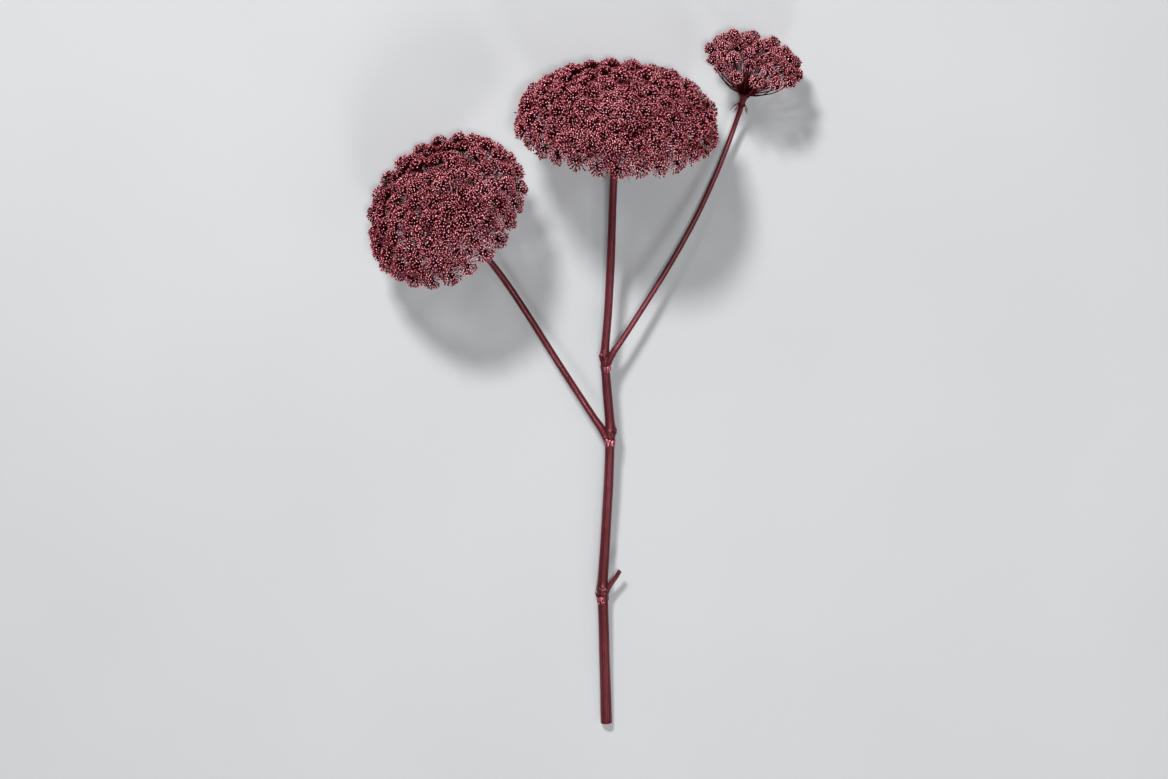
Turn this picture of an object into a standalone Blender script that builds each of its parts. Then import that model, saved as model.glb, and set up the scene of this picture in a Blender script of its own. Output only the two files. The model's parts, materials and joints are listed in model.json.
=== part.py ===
"""One cut stem of painted Queen Anne's lace, laid down on a flat surface.

A thick stem carries a large terminal umbel. Two side shoots grow from its upper joints: a wide left
umbel and a younger, cup-shaped right umbel with closed heads. Metres, +Z up. The stem runs along +Y
from its cut end, and the lowest heads of the three umbels and the cut end rest on Z = 0.
Lengths below are in millimetres and are scaled where objects are made.
"""

import math

import bmesh
import bpy
import numpy as np
from mathutils import Matrix, Vector

MM = 0.001

# ---------------------------------------------------------------- driving dimensions (mm)
STEM_BASE_R = 5.8      # cut end
STEM_TOP_R = 3.7       # under the main umbel
LEFT_R = 3.3           # left side shoot
RIGHT_R = 2.8          # right side shoot
GAP = 0.35             # clearance between neighbouring pieces
RAY_R = 0.7            # one umbel ray at its foot
OFFSET = (23.34, -319.70)  # moves the middle of the outline to X = Y = 0

# Route of each stem: x, y, z, radius. Joints have a swelling.
MAIN_ROUTE = [
    (0.0, -40.0, 5.2, 5.8), (-1.2, 5.0, 8.0, 5.5), (-2.6, 55.0, 11.4, 5.3), (-3.8, 94.0, 13.8, 5.3),
    (-4.2, 103.0, 14.4, 6.5), (-4.0, 112.0, 15.0, 5.3), (-1.6, 150.0, 17.0, 5.0), (1.6, 210.0, 20.0, 4.9),
    (3.4, 259.0, 22.4, 4.9), (3.8, 269.0, 23.0, 6.3), (3.2, 279.0, 23.8, 4.9), (0.4, 310.0, 25.8, 4.6),
    (-1.8, 338.0, 27.8, 4.5), (-2.2, 347.0, 28.6, 5.7), (-1.8, 356.0, 29.4, 4.3), (1.6, 400.0, 33.2, 4.1),
    (3.8, 450.0, 39.6, 4.1), (5.4, 500.0, 49.6, 3.9), (6.5, 532.0, 60.0, 3.9), (7.7, 553.0, 69.0, 4.9),
]
LEFT_ROUTE = [
    (3.6, 262.0, 23.0, 3.6), (-6.0, 273.0, 23.2, 3.9), (-13.0, 283.0, 22.8, 3.5), (-28.0, 306.0, 21.2, 3.4),
    (-52.0, 343.0, 18.0, 3.3), (-78.0, 384.0, 15.0, 3.3), (-103.0, 422.0, 15.6, 3.2), (-124.5, 451.0, 23.0, 3.1),
    (-138.0, 469.0, 34.4, 3.1), (-147.2, 480.6, 47.0, 3.9),
]
RIGHT_ROUTE = [
    (-2.0, 341.0, 28.4, 3.0), (7.0, 352.0, 28.6, 3.4), (14.0, 362.0, 28.4, 3.0), (33.0, 391.0, 26.4, 2.9),
    (62.0, 437.0, 22.8, 2.8), (90.0, 487.0, 19.0, 2.7), (112.5, 536.0, 15.6, 2.6), (127.0, 574.0, 15.8, 2.5),
    (134.0, 595.4, 20.8, 2.6), (136.9, 607.2, 26.5, 3.3),
]
STUB_ROUTE = [(-4.2, 99.0, 14.4, 2.4), (2.6, 106.5, 15.2, 2.7), (8.6, 114.5, 16.4, 2.3), (13.4, 122.6, 18.0, 2.2)]

UMBELS = [
    dict(name="main", origin=(8.0, 560.0, 72.0), azim=3.0, elev=23.0, R=98.0, H=46.0, z0=30.0,
         t=(95.0, 72.5, 53.5, 37.0, 22.5, 9.5, 1.0), counts=(28, 26, 21, 16, 10, 5, 1), head=10.3,
         foot=(8.9, 7.6, 6.1, 4.5, 2.9, 1.5, 0.0), disc=(9.8, 2.5, 3.9), neck=7.6, low=7.9, ball=False, seed=11,
         groups=((5, 5, 5, 5, 4, 4), (6, 5, 5, 5, 5), (6, 5, 5, 5), (6, 5, 5), (5, 5), (6,))),
    dict(name="left", origin=(-150.0, 484.0, 51.0), azim=-38.0, elev=42.0, R=84.0, H=38.0, z0=27.0,
         t=(95.0, 69.0, 48.0, 29.5, 13.0), counts=(24, 22, 17, 11, 5), head=10.2,
         foot=(7.7, 6.3, 4.8, 3.1, 1.5), disc=(8.6, 2.2, 3.3), neck=7.4, low=7.9, ball=False, seed=23,
         groups=((5, 5, 5, 5, 4), (6, 6, 5, 5), (6, 6, 5), (6, 5), (5,))),
    dict(name="right", origin=(138.0, 612.0, 29.0), azim=14.0, elev=27.0, R=44.0, H=16.0, z0=41.0,
         t=(90.0, 55.0, 28.0, 2.0), counts=(14, 11, 6, 1), head=7.6, foot=(5.4, 3.8, 2.0, 0.0),
         disc=(6.4, 1.8, 2.6), neck=8.4, low=4.6, ball=True, seed=37,
         groups=((4, 3, 3, 4), (4, 3, 4), (4, 3))),
]
RING_NAMES = {
    "main": ("rim", "second", "third", "fourth", "inner", "centre"),
    "left": ("rim", "second", "third", "inner", "centre"),
    "right": ("rim", "second", "inner"),
}


# ---------------------------------------------------------------- layout of rays and heads
def axes_of(u):
    """Sideways, upward and outward unit vectors of an umbel."""
    a, e = math.radians(u["azim"]), math.radians(u["elev"])
    side = np.array([math.cos(a), -math.sin(a), 0.0])
    up = np.array([-math.sin(a) * math.sin(e), -math.cos(a) * math.sin(e), math.cos(e)])
    out = np.array([math.sin(a) * math.cos(e), math.cos(a) * math.cos(e), math.sin(e)])
    return side, up, out


def layout():
    """Every ray: its foot on the disc, its head's middle, its head's axis and its place in the rings."""
    rays = []
    for k, u in enumerate(UMBELS):
        rng = np.random.RandomState(u["seed"])
        side, up, out = axes_of(u)
        origin = np.array(u["origin"])
        turn = 0.0
        for ring, (t, n) in enumerate(zip(u["t"], u["counts"])):
            turn += 0.31 + math.pi / n
            for j in range(n):
                phi = turn + 2 * math.pi * j / n
                jit = rng.uniform(-1, 1, 4)
                tt = math.radians(t + 2.0 * jit[0])
                ph = phi + jit[1] * 1.5 / max(12.0, u["R"] * math.sin(tt))
                r = u["R"] * math.sin(tt) * (1 + 0.012 * jit[2])
                h = u["z0"] + u["H"] * math.cos(tt) + 2.2 * jit[3]
                head = origin + r * (math.cos(ph) * side + math.sin(ph) * up) + h * out
                R0, z1, dome = u["disc"]
                f = u["foot"][ring]
                zf = z1 + dome * math.sqrt(max(0.0, 1 - (f / R0) ** 2))
                nr, nz = f / R0**2, (zf - z1) / dome**2
                m = math.hypot(nr, nz)
                lift = GAP + 0.75
                fr, fz = f + lift * nr / m, zf + lift * nz / m
                foot = origin + fr * (math.cos(phi) * side + math.sin(phi) * up) + fz * out
                rays.append(dict(umbel=k, ring=ring, foot=foot, head=head, size=u["head"]))
    heads = np.array([r["head"] for r in rays])
    want = heads.copy()
    size = np.array([r["size"] for r in rays])
    low = np.array([UMBELS[r["umbel"]]["low"] for r in rays])
    need = size[:, None] + size[None, :] + 0.6
    for step in range(240):
        d = heads[:, None, :] - heads[None, :, :]
        dist = np.sqrt((d**2).sum(-1)) + np.eye(len(heads)) * 1e3
        push = np.clip(need - dist, 0, None) / dist
        heads = heads + 0.42 * (push[:, :, None] * d).sum(1)
        if step < 200:
            heads = heads + 0.03 * (want - heads)
        heads[:, 2] = np.maximum(heads[:, 2], low)
    for r, head in zip(rays, heads):
        u = UMBELS[r["umbel"]]
        side, up, out = axes_of(u)
        origin = np.array(u["origin"])
        v = head - origin
        along = v / np.linalg.norm(v)
        w = head - (origin + 0.45 * u["z0"] * out)
        axis = 0.5 * along + 0.5 * w / np.linalg.norm(w)
        if u["ball"]:
            axis = 0.55 * along + 0.45 * out
        press = max(0.0, 1 - (head[2] - 8.0) / 9.0)
        axis = axis + np.array([0, 0, 0.55]) * press * max(0.0, -axis[2])
        r["head"], r["axis"] = head, axis / np.linalg.norm(axis)
        r["neck"] = head - r["axis"] * u["neck"]
    return rays


def ray_line(r, ts):
    """Points along a ray from its foot to its neck."""
    u = UMBELS[r["umbel"]]
    side, up, out = axes_of(u)
    a, d = r["foot"], r["neck"]
    length = np.linalg.norm(d - a)
    first = (d - a) / length
    if u["ball"]:
        flat = first - 0.34 * out
        first = flat / np.linalg.norm(flat)
    else:
        first = first - 0.05 * out
        first = first / np.linalg.norm(first)
    b = a + first * length * 0.36
    c = d - r["axis"] * length * 0.30
    return [a * (1 - t) ** 3 + 3 * b * t * (1 - t) ** 2 + 3 * c * t * t * (1 - t) + d * t**3 for t in ts]


# ---------------------------------------------------------------- modelling helpers
def clear_scene():
    for obj in list(bpy.data.objects):
        bpy.data.objects.remove(obj, do_unlink=True)


def collection(name):
    c = bpy.data.collections.new(name)
    bpy.context.scene.collection.children.link(c)
    return c


def paint(obj, colour, roughness=0.5, metallic=0.25):
    mat = bpy.data.materials.new(obj.name + "_paint")
    mat.use_nodes = True
    bsdf = mat.node_tree.nodes["Principled BSDF"]
    bsdf.inputs["Base Color"].default_value = (*colour, 1)
    bsdf.inputs["Roughness"].default_value = roughness
    bsdf.inputs["Metallic"].default_value = metallic
    obj.data.materials.clear()
    obj.data.materials.append(mat)


def smooth_route(route, step=14.0):
    """Catmull-Rom points through the route, radius included."""
    p = [np.array(q, float) for q in route]
    p = [2 * p[0] - p[1]] + p + [2 * p[-1] - p[-2]]
    made = []
    for i in range(1, len(p) - 2):
        n = max(1, int(round(np.linalg.norm(p[i + 1][:3] - p[i][:3]) / step)))
        for k in range(n):
            t = k / n
            made.append(0.5 * (2 * p[i] + (p[i + 1] - p[i - 1]) * t
                               + (2 * p[i - 1] - 5 * p[i] + 4 * p[i + 1] - p[i + 2]) * t * t
                               + (3 * p[i] - p[i - 1] - 3 * p[i + 1] + p[i + 2]) * t**3))
    return made + [p[-2]]


def tube(name, points, radii, home, sides=8, grow=0.0, origin=(0, 0, 0)):
    """A bevelled curve with one radius a point and filled caps."""
    data = bpy.data.curves.new(name, "CURVE")
    data.dimensions = "3D"
    data.fill_mode = "FULL"
    data.bevel_depth = MM
    data.bevel_resolution = (sides - 4) // 2
    data.use_fill_caps = True
    data.twist_mode = "MINIMUM"
    spline = data.splines.new("POLY")
    spline.points.add(len(points) - 1)
    for q, p, r in zip(spline.points, points, radii):
        q.co = (*[(p[i] - origin[i]) * MM for i in range(3)], 1)
        q.radius = r + grow
    obj = bpy.data.objects.new(name, data)
    obj.location = [c * MM for c in origin]
    home.objects.link(obj)
    return obj


def to_mesh(obj, home):
    """The evaluated object as a mesh object of the same name, with its caps welded."""
    bpy.context.view_layer.update()
    graph = bpy.context.evaluated_depsgraph_get()
    mesh = bpy.data.meshes.new_from_object(obj.evaluated_get(graph))
    bm = bmesh.new()
    bm.from_mesh(mesh)
    bmesh.ops.remove_doubles(bm, verts=bm.verts, dist=1e-6)
    bmesh.ops.recalc_face_normals(bm, faces=bm.faces)
    bm.to_mesh(mesh)
    bm.free()
    matrix, name = obj.matrix_world.copy(), obj.name
    bpy.data.objects.remove(obj, do_unlink=True)
    made = bpy.data.objects.new(name, mesh)
    made.matrix_world = matrix
    home.objects.link(made)
    mesh.name = name
    return made


def boolean(obj, other, operation):
    m = obj.modifiers.new(operation.lower(), "BOOLEAN")
    m.operation = operation
    m.solver = "EXACT"
    m.object = other


def bake(obj, home, helpers=()):
    """Applies an object's modifiers, then removes the helpers that they used."""
    made = to_mesh(obj, home)
    for h in helpers:
        bpy.data.objects.remove(h, do_unlink=True)
    return made


def turned(name, profile, home, steps=16):
    """A profile of (radius, height) in mm, turned round Z. It runs down its outer side."""
    mesh = bpy.data.meshes.new(name)
    mesh.from_pydata([(r * MM, 0, z * MM) for r, z in profile],
                     [(i, i + 1) for i in range(len(profile) - 1)], [])
    obj = bpy.data.objects.new(name, mesh)
    home.objects.link(obj)
    m = obj.modifiers.new("turn", "SCREW")
    m.axis = "Z"
    m.steps = m.render_steps = steps
    m.use_merge_vertices = True
    m.merge_threshold = 1e-5
    m.use_normal_calculate = True
    return obj


def aim(obj, origin, direction):
    """Stands an object's Z axis along direction, at origin (mm)."""
    obj.location = [c * MM for c in origin]
    obj.rotation_mode = "QUATERNION"
    obj.rotation_quaternion = Vector(direction).to_track_quat("Z", "Y")


def smooth(obj, angle=40):
    obj.data.shade_smooth()
    obj.data.set_sharp_from_angle(angle=math.radians(angle))


STEM_COLOUR = (0.27, 0.075, 0.095)
HEAD_COLOUR = (0.46, 0.14, 0.175)
DISC_COLOUR = (0.20, 0.045, 0.06)
BRACT_COLOUR = (0.34, 0.09, 0.12)


def head_profile(u):
    """(distance along the head's axis from its middle, radius) of a head's plain outer shape."""
    if u["ball"]:
        return [(-u["neck"], 0.62), (-3.0, 6.6), (1.2, 7.6), (5.8, 4.6)]
    return [(-u["neck"], 0.62), (0.0, u["head"]), (4.6, 6.4)]


def main():
    clear_scene()
    parts = collection("queen_annes_lace_flower")
    cutters = collection("cutters")
    root = bpy.data.objects.new("flower_frame", None)
    parts.objects.link(root)

    bpy.ops.mesh.primitive_cube_add(size=1, location=(0, 0.3, -0.05))
    floor = bpy.context.object
    floor.name = "surface_cutter"
    floor.scale = (1.0, 1.4, 0.1)
    for c in list(floor.users_collection):
        c.objects.unlink(floor)
    cutters.objects.link(floor)
    bpy.context.view_layer.update()
    floor.data.transform(Matrix.Diagonal((1.0, 1.4, 0.1, 1)))
    floor.scale = (1, 1, 1)
    floor.hide_render = True
    floor.display_type = "WIRE"

    made = []

    # ---- stems
    routes = {"main_stem": MAIN_ROUTE, "left_branch": LEFT_ROUTE, "right_branch": RIGHT_ROUTE,
              "trimmed_shoot": STUB_ROUTE}
    lines = {n: smooth_route(r, 18.0) for n, r in routes.items()}
    stem = tube("main_stem", [p[:3] for p in lines["main_stem"]], [p[3] for p in lines["main_stem"]], parts, 10)
    stem = to_mesh(stem, parts)
    sleeve = tube("sleeve_cutter", [p[:3] for p in lines["main_stem"]], [p[3] for p in lines["main_stem"]],
                  cutters, 10, grow=GAP)
    sleeve = to_mesh(sleeve, cutters)
    sleeve.hide_render = True
    sleeve.display_type = "WIRE"
    boolean(stem, floor, "DIFFERENCE")
    stem = bake(stem, parts)
    paint(stem, STEM_COLOUR)
    smooth(stem)
    made.append(stem)
    for name in ("left_branch", "right_branch", "trimmed_shoot"):
        b = tube(name, [p[:3] for p in lines[name]], [p[3] for p in lines[name]], parts, 8)
        b = to_mesh(b, parts)
        boolean(b, sleeve, "DIFFERENCE")
        b = bake(b, parts)
        paint(b, STEM_COLOUR)
        smooth(b)
        made.append(b)

    # ---- torn leaf bases: a short sheath round the stem just below each joint, open on one side
    for name, at, radius, span, opening in (
        ("leaf_base_lower", (-4.05, 93.0, 13.7), 5.4, 6.5, (1.0, 0.2, 0.6)),
        ("leaf_base_left", (3.4, 256.5, 22.3), 5.0, 6.0, (1.0, 0.0, -0.5)),
        ("leaf_base_right", (-1.4, 334.0, 27.5), 4.7, 5.5, (-1.0, 0.0, 0.5)),
    ):
        tangent = np.array([0.0, 1.0, 0.065])
        inner = radius + GAP + 0.25
        ring = turned(name, [(inner, span / 2), (inner + 0.7, span / 2 + 0.6), (inner + 1.3, span / 4),
                             (inner + 1.1, -span / 2), (inner, -span / 2), (inner, span / 2)], parts, 16)
        aim(ring, at, tangent)
        ring = to_mesh(ring, parts)
        o = np.array(opening) / np.linalg.norm(opening)
        bpy.ops.mesh.primitive_cube_add(size=1)
        notch = bpy.context.object
        notch.name = name + "_notch_cutter"
        notch.data.transform(Matrix.Diagonal((9 * MM, 9 * MM, 20 * MM, 1)))
        aim(notch, np.array(at) + o * (inner + 3.0), tangent)
        for c in list(notch.users_collection):
            c.objects.unlink(notch)
        cutters.objects.link(notch)
        boolean(ring, notch, "DIFFERENCE")
        ring = bake(ring, parts, [notch])
        paint(ring, STEM_COLOUR, 0.42)
        smooth(ring, 50)
        made.append(ring)

    # ---- discs that carry the rays, and the bracts under them
    tops = {"main": lines["main_stem"], "left": lines["left_branch"], "right": lines["right_branch"]}
    for u in UMBELS:
        R0, z1, dome = u["disc"]
        side, up, out = axes_of(u)
        line = tops[u["name"]]
        top = line[-1]
        end = line[-1][:3] - line[-2][:3]
        tilt = math.sqrt(max(0.0, 1 - float(np.dot(end / np.linalg.norm(end), out)) ** 2))
        low = float(np.dot(np.array(u["origin"]) - top[:3], out)) - GAP - top[3] * tilt
        arc = [(R0 * math.sin(a), z1 + dome * math.cos(a)) for a in np.linspace(0.0, math.pi / 2, 5)]
        profile = arc + [(R0 * 0.93, z1 - 1.2), (top[3] + 0.9, -low), (0.0, -low)]
        disc = turned(u["name"] + "_disc", profile, parts, 14)
        aim(disc, u["origin"], out)
        disc = to_mesh(disc, parts)
        paint(disc, DISC_COLOUR, 0.55)
        smooth(disc)
        made.append(disc)

        back = line[-1][:3] - line[-2][:3]
        back = -back / np.linalg.norm(back)
        centre = line[-1][:3] + back * 5.0
        rs = max(top[3], line[-2][3]) + GAP + 0.25
        ring = turned(u["name"] + "_bracts", [(rs, 0.8), (rs + 1.2, 0.8), (rs + 1.2, -0.8), (rs, -0.8), (rs, 0.8)], parts, 10)
        aim(ring, centre, -back)
        ring = to_mesh(ring, parts)
        helpers = []
        e1 = np.cross(-back, [0, 0, 1.0])
        e1 /= np.linalg.norm(e1)
        e2 = np.cross(-back, e1)
        reach = 0.30 * u["R"]
        for i in range(6):
            a = 2 * math.pi * (i + 0.5) / 6
            d = math.cos(a) * e1 + math.sin(a) * e2
            p0 = centre + d * (rs + 0.7)
            pts = [p0, p0 + d * 0.22 * reach + back * 0.10 * reach, p0 + d * 0.55 * reach + back * 0.34 * reach,
                   p0 + d * 0.80 * reach + back * 0.72 * reach]
            h = to_mesh(tube("thread%d" % i, pts, [0.55, 0.5, 0.42, 0.25], cutters, 4), cutters)
            boolean(ring, h, "UNION")
            helpers.append(h)
        ring = bake(ring, parts, helpers)
        paint(ring, BRACT_COLOUR)
        made.append(ring)

    # ---- rays with their heads, in sprays that grow from one foot
    rays = layout()
    for k, u in enumerate(UMBELS):
        side, up, out = axes_of(u)
        for ring, sizes in enumerate(u["groups"]):
            names = RING_NAMES[u["name"]]
            mine = [r for r in rays if r["umbel"] == k and (r["ring"] == ring or (len(names) <= ring + 1 and r["ring"] > ring))]
            start = 0
            for g, n in enumerate(sizes):
                group = mine[start:start + n]
                start += n
                number = "" if len(sizes) == 1 else "_%d" % (g + 1)
                name = f"{u['name']}_{names[ring]}_umbellets{number}"
                pts = [r["foot"] for r in group]
                low = 0.12 * out
                bar = tube(name, [p + low for p in pts], [0.62] * len(pts), parts, 4, origin=u["origin"]) if n > 1 else None
                helpers = []
                solids = []
                for i, r in enumerate(group):
                    line = ray_line(r, (0.0, 0.5, 1.0))
                    d0 = line[1] - line[0]
                    line[0] = line[0] - 0.2 * d0 / np.linalg.norm(d0)
                    head = head_profile(u)
                    points = line[:2] + [r["head"] + r["axis"] * s for s, _ in head]
                    radii = [RAY_R, RAY_R * 0.86] + [q for _, q in head]
                    solids.append(to_mesh(tube(f"ray{i}", points, radii, cutters, 6, origin=u["origin"]), cutters))
                bar = to_mesh(bar, parts)
                for s in solids:
                    boolean(bar, s, "UNION")
                    helpers.append(s)
                low_z = min(min((s.matrix_world @ v.co).z for v in s.data.vertices) for s in solids)
                if low_z < 0.0002:
                    boolean(bar, floor, "DIFFERENCE")
                spray = bake(bar, parts, helpers)
                paint(spray, HEAD_COLOUR)
                made.append(spray)

    for obj in made:
        obj.parent = root
    root.location = (OFFSET[0] * MM, OFFSET[1] * MM, 0)


main()
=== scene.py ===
"""The looks of one painted stem of Queen Anne's lace, lying down.

Every piece is grown here from the same plan as its solid: ribbed stems with swollen joints and torn
leaf bases, domed umbels of thin rays, and on each ray an umbellet of stalked, club-shaped fruits with
thread-like bracts under it. Lengths are millimetres in the plan and metres in the scene.
"""

import json
import math

import bpy
import numpy as np
from mathutils import Matrix, Vector

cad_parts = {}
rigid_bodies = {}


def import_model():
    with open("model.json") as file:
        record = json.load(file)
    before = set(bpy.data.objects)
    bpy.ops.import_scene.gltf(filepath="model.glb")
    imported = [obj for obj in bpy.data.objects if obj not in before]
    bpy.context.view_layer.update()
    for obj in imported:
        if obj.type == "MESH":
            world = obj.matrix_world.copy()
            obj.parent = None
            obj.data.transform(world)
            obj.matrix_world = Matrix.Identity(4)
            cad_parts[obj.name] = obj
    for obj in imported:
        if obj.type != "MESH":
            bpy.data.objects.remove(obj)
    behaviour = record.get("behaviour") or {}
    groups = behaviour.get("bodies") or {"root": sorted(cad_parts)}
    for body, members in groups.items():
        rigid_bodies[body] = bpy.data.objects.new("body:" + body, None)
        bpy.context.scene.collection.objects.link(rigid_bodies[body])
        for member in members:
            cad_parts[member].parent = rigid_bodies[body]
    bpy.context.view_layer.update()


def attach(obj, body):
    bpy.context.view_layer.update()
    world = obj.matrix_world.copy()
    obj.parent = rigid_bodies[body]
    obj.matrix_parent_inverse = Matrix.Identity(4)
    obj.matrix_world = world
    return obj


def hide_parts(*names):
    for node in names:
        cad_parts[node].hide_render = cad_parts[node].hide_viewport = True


MM = 0.001
TAU = 2 * math.pi

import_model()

# ---------------------------------------------------------------- the plan, as in the solids (mm)
GAP = 0.35
OFFSET = np.array([23.34, -319.70, 0.0])

MAIN_ROUTE = [
    (0.0, -40.0, 5.2, 5.8), (-1.2, 5.0, 8.0, 5.5), (-2.6, 55.0, 11.4, 5.3), (-3.8, 94.0, 13.8, 5.3),
    (-4.2, 103.0, 14.4, 6.5), (-4.0, 112.0, 15.0, 5.3), (-1.6, 150.0, 17.0, 5.0), (1.6, 210.0, 20.0, 4.9),
    (3.4, 259.0, 22.4, 4.9), (3.8, 269.0, 23.0, 6.3), (3.2, 279.0, 23.8, 4.9), (0.4, 310.0, 25.8, 4.6),
    (-1.8, 338.0, 27.8, 4.5), (-2.2, 347.0, 28.6, 5.7), (-1.8, 356.0, 29.4, 4.3), (1.6, 400.0, 33.2, 4.1),
    (3.8, 450.0, 39.6, 4.1), (5.4, 500.0, 49.6, 3.9), (6.5, 532.0, 60.0, 3.9), (7.7, 553.0, 69.0, 4.9),
]
LEFT_ROUTE = [
    (3.6, 262.0, 23.0, 3.6), (-6.0, 273.0, 23.2, 3.9), (-13.0, 283.0, 22.8, 3.5), (-28.0, 306.0, 21.2, 3.4),
    (-52.0, 343.0, 18.0, 3.3), (-78.0, 384.0, 15.0, 3.3), (-103.0, 422.0, 15.6, 3.2), (-124.5, 451.0, 23.0, 3.1),
    (-138.0, 469.0, 34.4, 3.1), (-147.2, 480.6, 47.0, 3.9),
]
RIGHT_ROUTE = [
    (-2.0, 341.0, 28.4, 3.0), (7.0, 352.0, 28.6, 3.4), (14.0, 362.0, 28.4, 3.0), (33.0, 391.0, 26.4, 2.9),
    (62.0, 437.0, 22.8, 2.8), (90.0, 487.0, 19.0, 2.7), (112.5, 536.0, 15.6, 2.6), (127.0, 574.0, 15.8, 2.5),
    (134.0, 595.4, 20.8, 2.6), (136.9, 607.2, 26.5, 3.3),
]
STUB_ROUTE = [(-4.2, 99.0, 14.4, 2.4), (2.6, 106.5, 15.2, 2.7), (8.6, 114.5, 16.4, 2.3), (13.4, 122.6, 18.0, 2.2)]

UMBELS = [
    dict(name="main", origin=(8.0, 560.0, 72.0), azim=3.0, elev=23.0, R=98.0, H=46.0, z0=30.0,
         t=(95.0, 72.5, 53.5, 37.0, 22.5, 9.5, 1.0), counts=(28, 26, 21, 16, 10, 5, 1), head=10.3,
         foot=(8.9, 7.6, 6.1, 4.5, 2.9, 1.5, 0.0), disc=(9.8, 2.5, 3.9), neck=7.6, low=7.9, ball=False, seed=11,
         groups=((5, 5, 5, 5, 4, 4), (6, 5, 5, 5, 5), (6, 5, 5, 5), (6, 5, 5), (5, 5), (6,))),
    dict(name="left", origin=(-150.0, 484.0, 51.0), azim=-38.0, elev=42.0, R=84.0, H=38.0, z0=27.0,
         t=(95.0, 69.0, 48.0, 29.5, 13.0), counts=(24, 22, 17, 11, 5), head=10.2,
         foot=(7.7, 6.3, 4.8, 3.1, 1.5), disc=(8.6, 2.2, 3.3), neck=7.4, low=7.9, ball=False, seed=23,
         groups=((5, 5, 5, 5, 4), (6, 6, 5, 5), (6, 6, 5), (6, 5), (5,))),
    dict(name="right", origin=(138.0, 612.0, 29.0), azim=14.0, elev=27.0, R=44.0, H=16.0, z0=41.0,
         t=(90.0, 55.0, 28.0, 2.0), counts=(14, 11, 6, 1), head=7.6, foot=(5.4, 3.8, 2.0, 0.0),
         disc=(6.4, 1.8, 2.6), neck=8.4, low=4.6, ball=True, seed=37,
         groups=((4, 3, 3, 4), (4, 3, 4), (4, 3))),
]
RING_NAMES = {
    "main": ("rim", "second", "third", "fourth", "inner", "centre"),
    "left": ("rim", "second", "third", "inner", "centre"),
    "right": ("rim", "second", "inner"),
}


def unit(v):
    v = np.asarray(v, float)
    return v / np.maximum(np.linalg.norm(v, axis=-1, keepdims=True), 1e-12)


def axes_of(u):
    """Sideways, upward and outward unit vectors of an umbel."""
    a, e = math.radians(u["azim"]), math.radians(u["elev"])
    side = np.array([math.cos(a), -math.sin(a), 0.0])
    up = np.array([-math.sin(a) * math.sin(e), -math.cos(a) * math.sin(e), math.cos(e)])
    out = np.array([math.sin(a) * math.cos(e), math.cos(a) * math.cos(e), math.sin(e)])
    return side, up, out


def layout():
    """Every ray: its foot on the disc, its head's middle, its head's axis and its place in the rings."""
    rays = []
    for k, u in enumerate(UMBELS):
        rng = np.random.RandomState(u["seed"])
        side, up, out = axes_of(u)
        origin = np.array(u["origin"])
        turn = 0.0
        for ring, (t, n) in enumerate(zip(u["t"], u["counts"])):
            turn += 0.31 + math.pi / n
            for j in range(n):
                phi = turn + 2 * math.pi * j / n
                jit = rng.uniform(-1, 1, 4)
                tt = math.radians(t + 2.0 * jit[0])
                ph = phi + jit[1] * 1.5 / max(12.0, u["R"] * math.sin(tt))
                r = u["R"] * math.sin(tt) * (1 + 0.012 * jit[2])
                h = u["z0"] + u["H"] * math.cos(tt) + 2.2 * jit[3]
                head = origin + r * (math.cos(ph) * side + math.sin(ph) * up) + h * out
                R0, z1, dome = u["disc"]
                f = u["foot"][ring]
                zf = z1 + dome * math.sqrt(max(0.0, 1 - (f / R0) ** 2))
                nr, nz = f / R0**2, (zf - z1) / dome**2
                m = math.hypot(nr, nz)
                lift = GAP + 0.75
                fr, fz = f + lift * nr / m, zf + lift * nz / m
                across = math.cos(phi) * side + math.sin(phi) * up
                foot = origin + fr * across + fz * out
                rays.append(dict(umbel=k, ring=ring, foot=foot, head=head, size=u["head"],
                                 down=-(nr * across + nz * out) / m))
    heads = np.array([r["head"] for r in rays])
    want = heads.copy()
    size = np.array([r["size"] for r in rays])
    low = np.array([UMBELS[r["umbel"]]["low"] for r in rays])
    need = size[:, None] + size[None, :] + 0.6
    for step in range(240):
        d = heads[:, None, :] - heads[None, :, :]
        dist = np.sqrt((d**2).sum(-1)) + np.eye(len(heads)) * 1e3
        push = np.clip(need - dist, 0, None) / dist
        heads = heads + 0.42 * (push[:, :, None] * d).sum(1)
        if step < 200:
            heads = heads + 0.03 * (want - heads)
        heads[:, 2] = np.maximum(heads[:, 2], low)
    for r, head in zip(rays, heads):
        u = UMBELS[r["umbel"]]
        side, up, out = axes_of(u)
        origin = np.array(u["origin"])
        v = head - origin
        along = v / np.linalg.norm(v)
        w = head - (origin + 0.45 * u["z0"] * out)
        axis = 0.5 * along + 0.5 * w / np.linalg.norm(w)
        if u["ball"]:
            axis = 0.55 * along + 0.45 * out
        press = max(0.0, 1 - (head[2] - 8.0) / 9.0)
        axis = axis + np.array([0, 0, 0.55]) * press * max(0.0, -axis[2])
        r["head"], r["axis"] = head, axis / np.linalg.norm(axis)
        r["neck"] = head - r["axis"] * u["neck"]
    return rays


def ray_line(r, ts):
    """Points along a ray from its foot to its neck."""
    u = UMBELS[r["umbel"]]
    side, up, out = axes_of(u)
    a, d = r["foot"], r["neck"]
    length = np.linalg.norm(d - a)
    first = (d - a) / length
    if u["ball"]:
        flat = first - 0.34 * out
        first = flat / np.linalg.norm(flat)
    else:
        first = first - 0.05 * out
        first = first / np.linalg.norm(first)
    b = a + first * length * 0.36
    c = d - r["axis"] * length * 0.30
    return np.array([a * (1 - t) ** 3 + 3 * b * t * (1 - t) ** 2 + 3 * c * t * t * (1 - t) + d * t**3 for t in ts])


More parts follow.
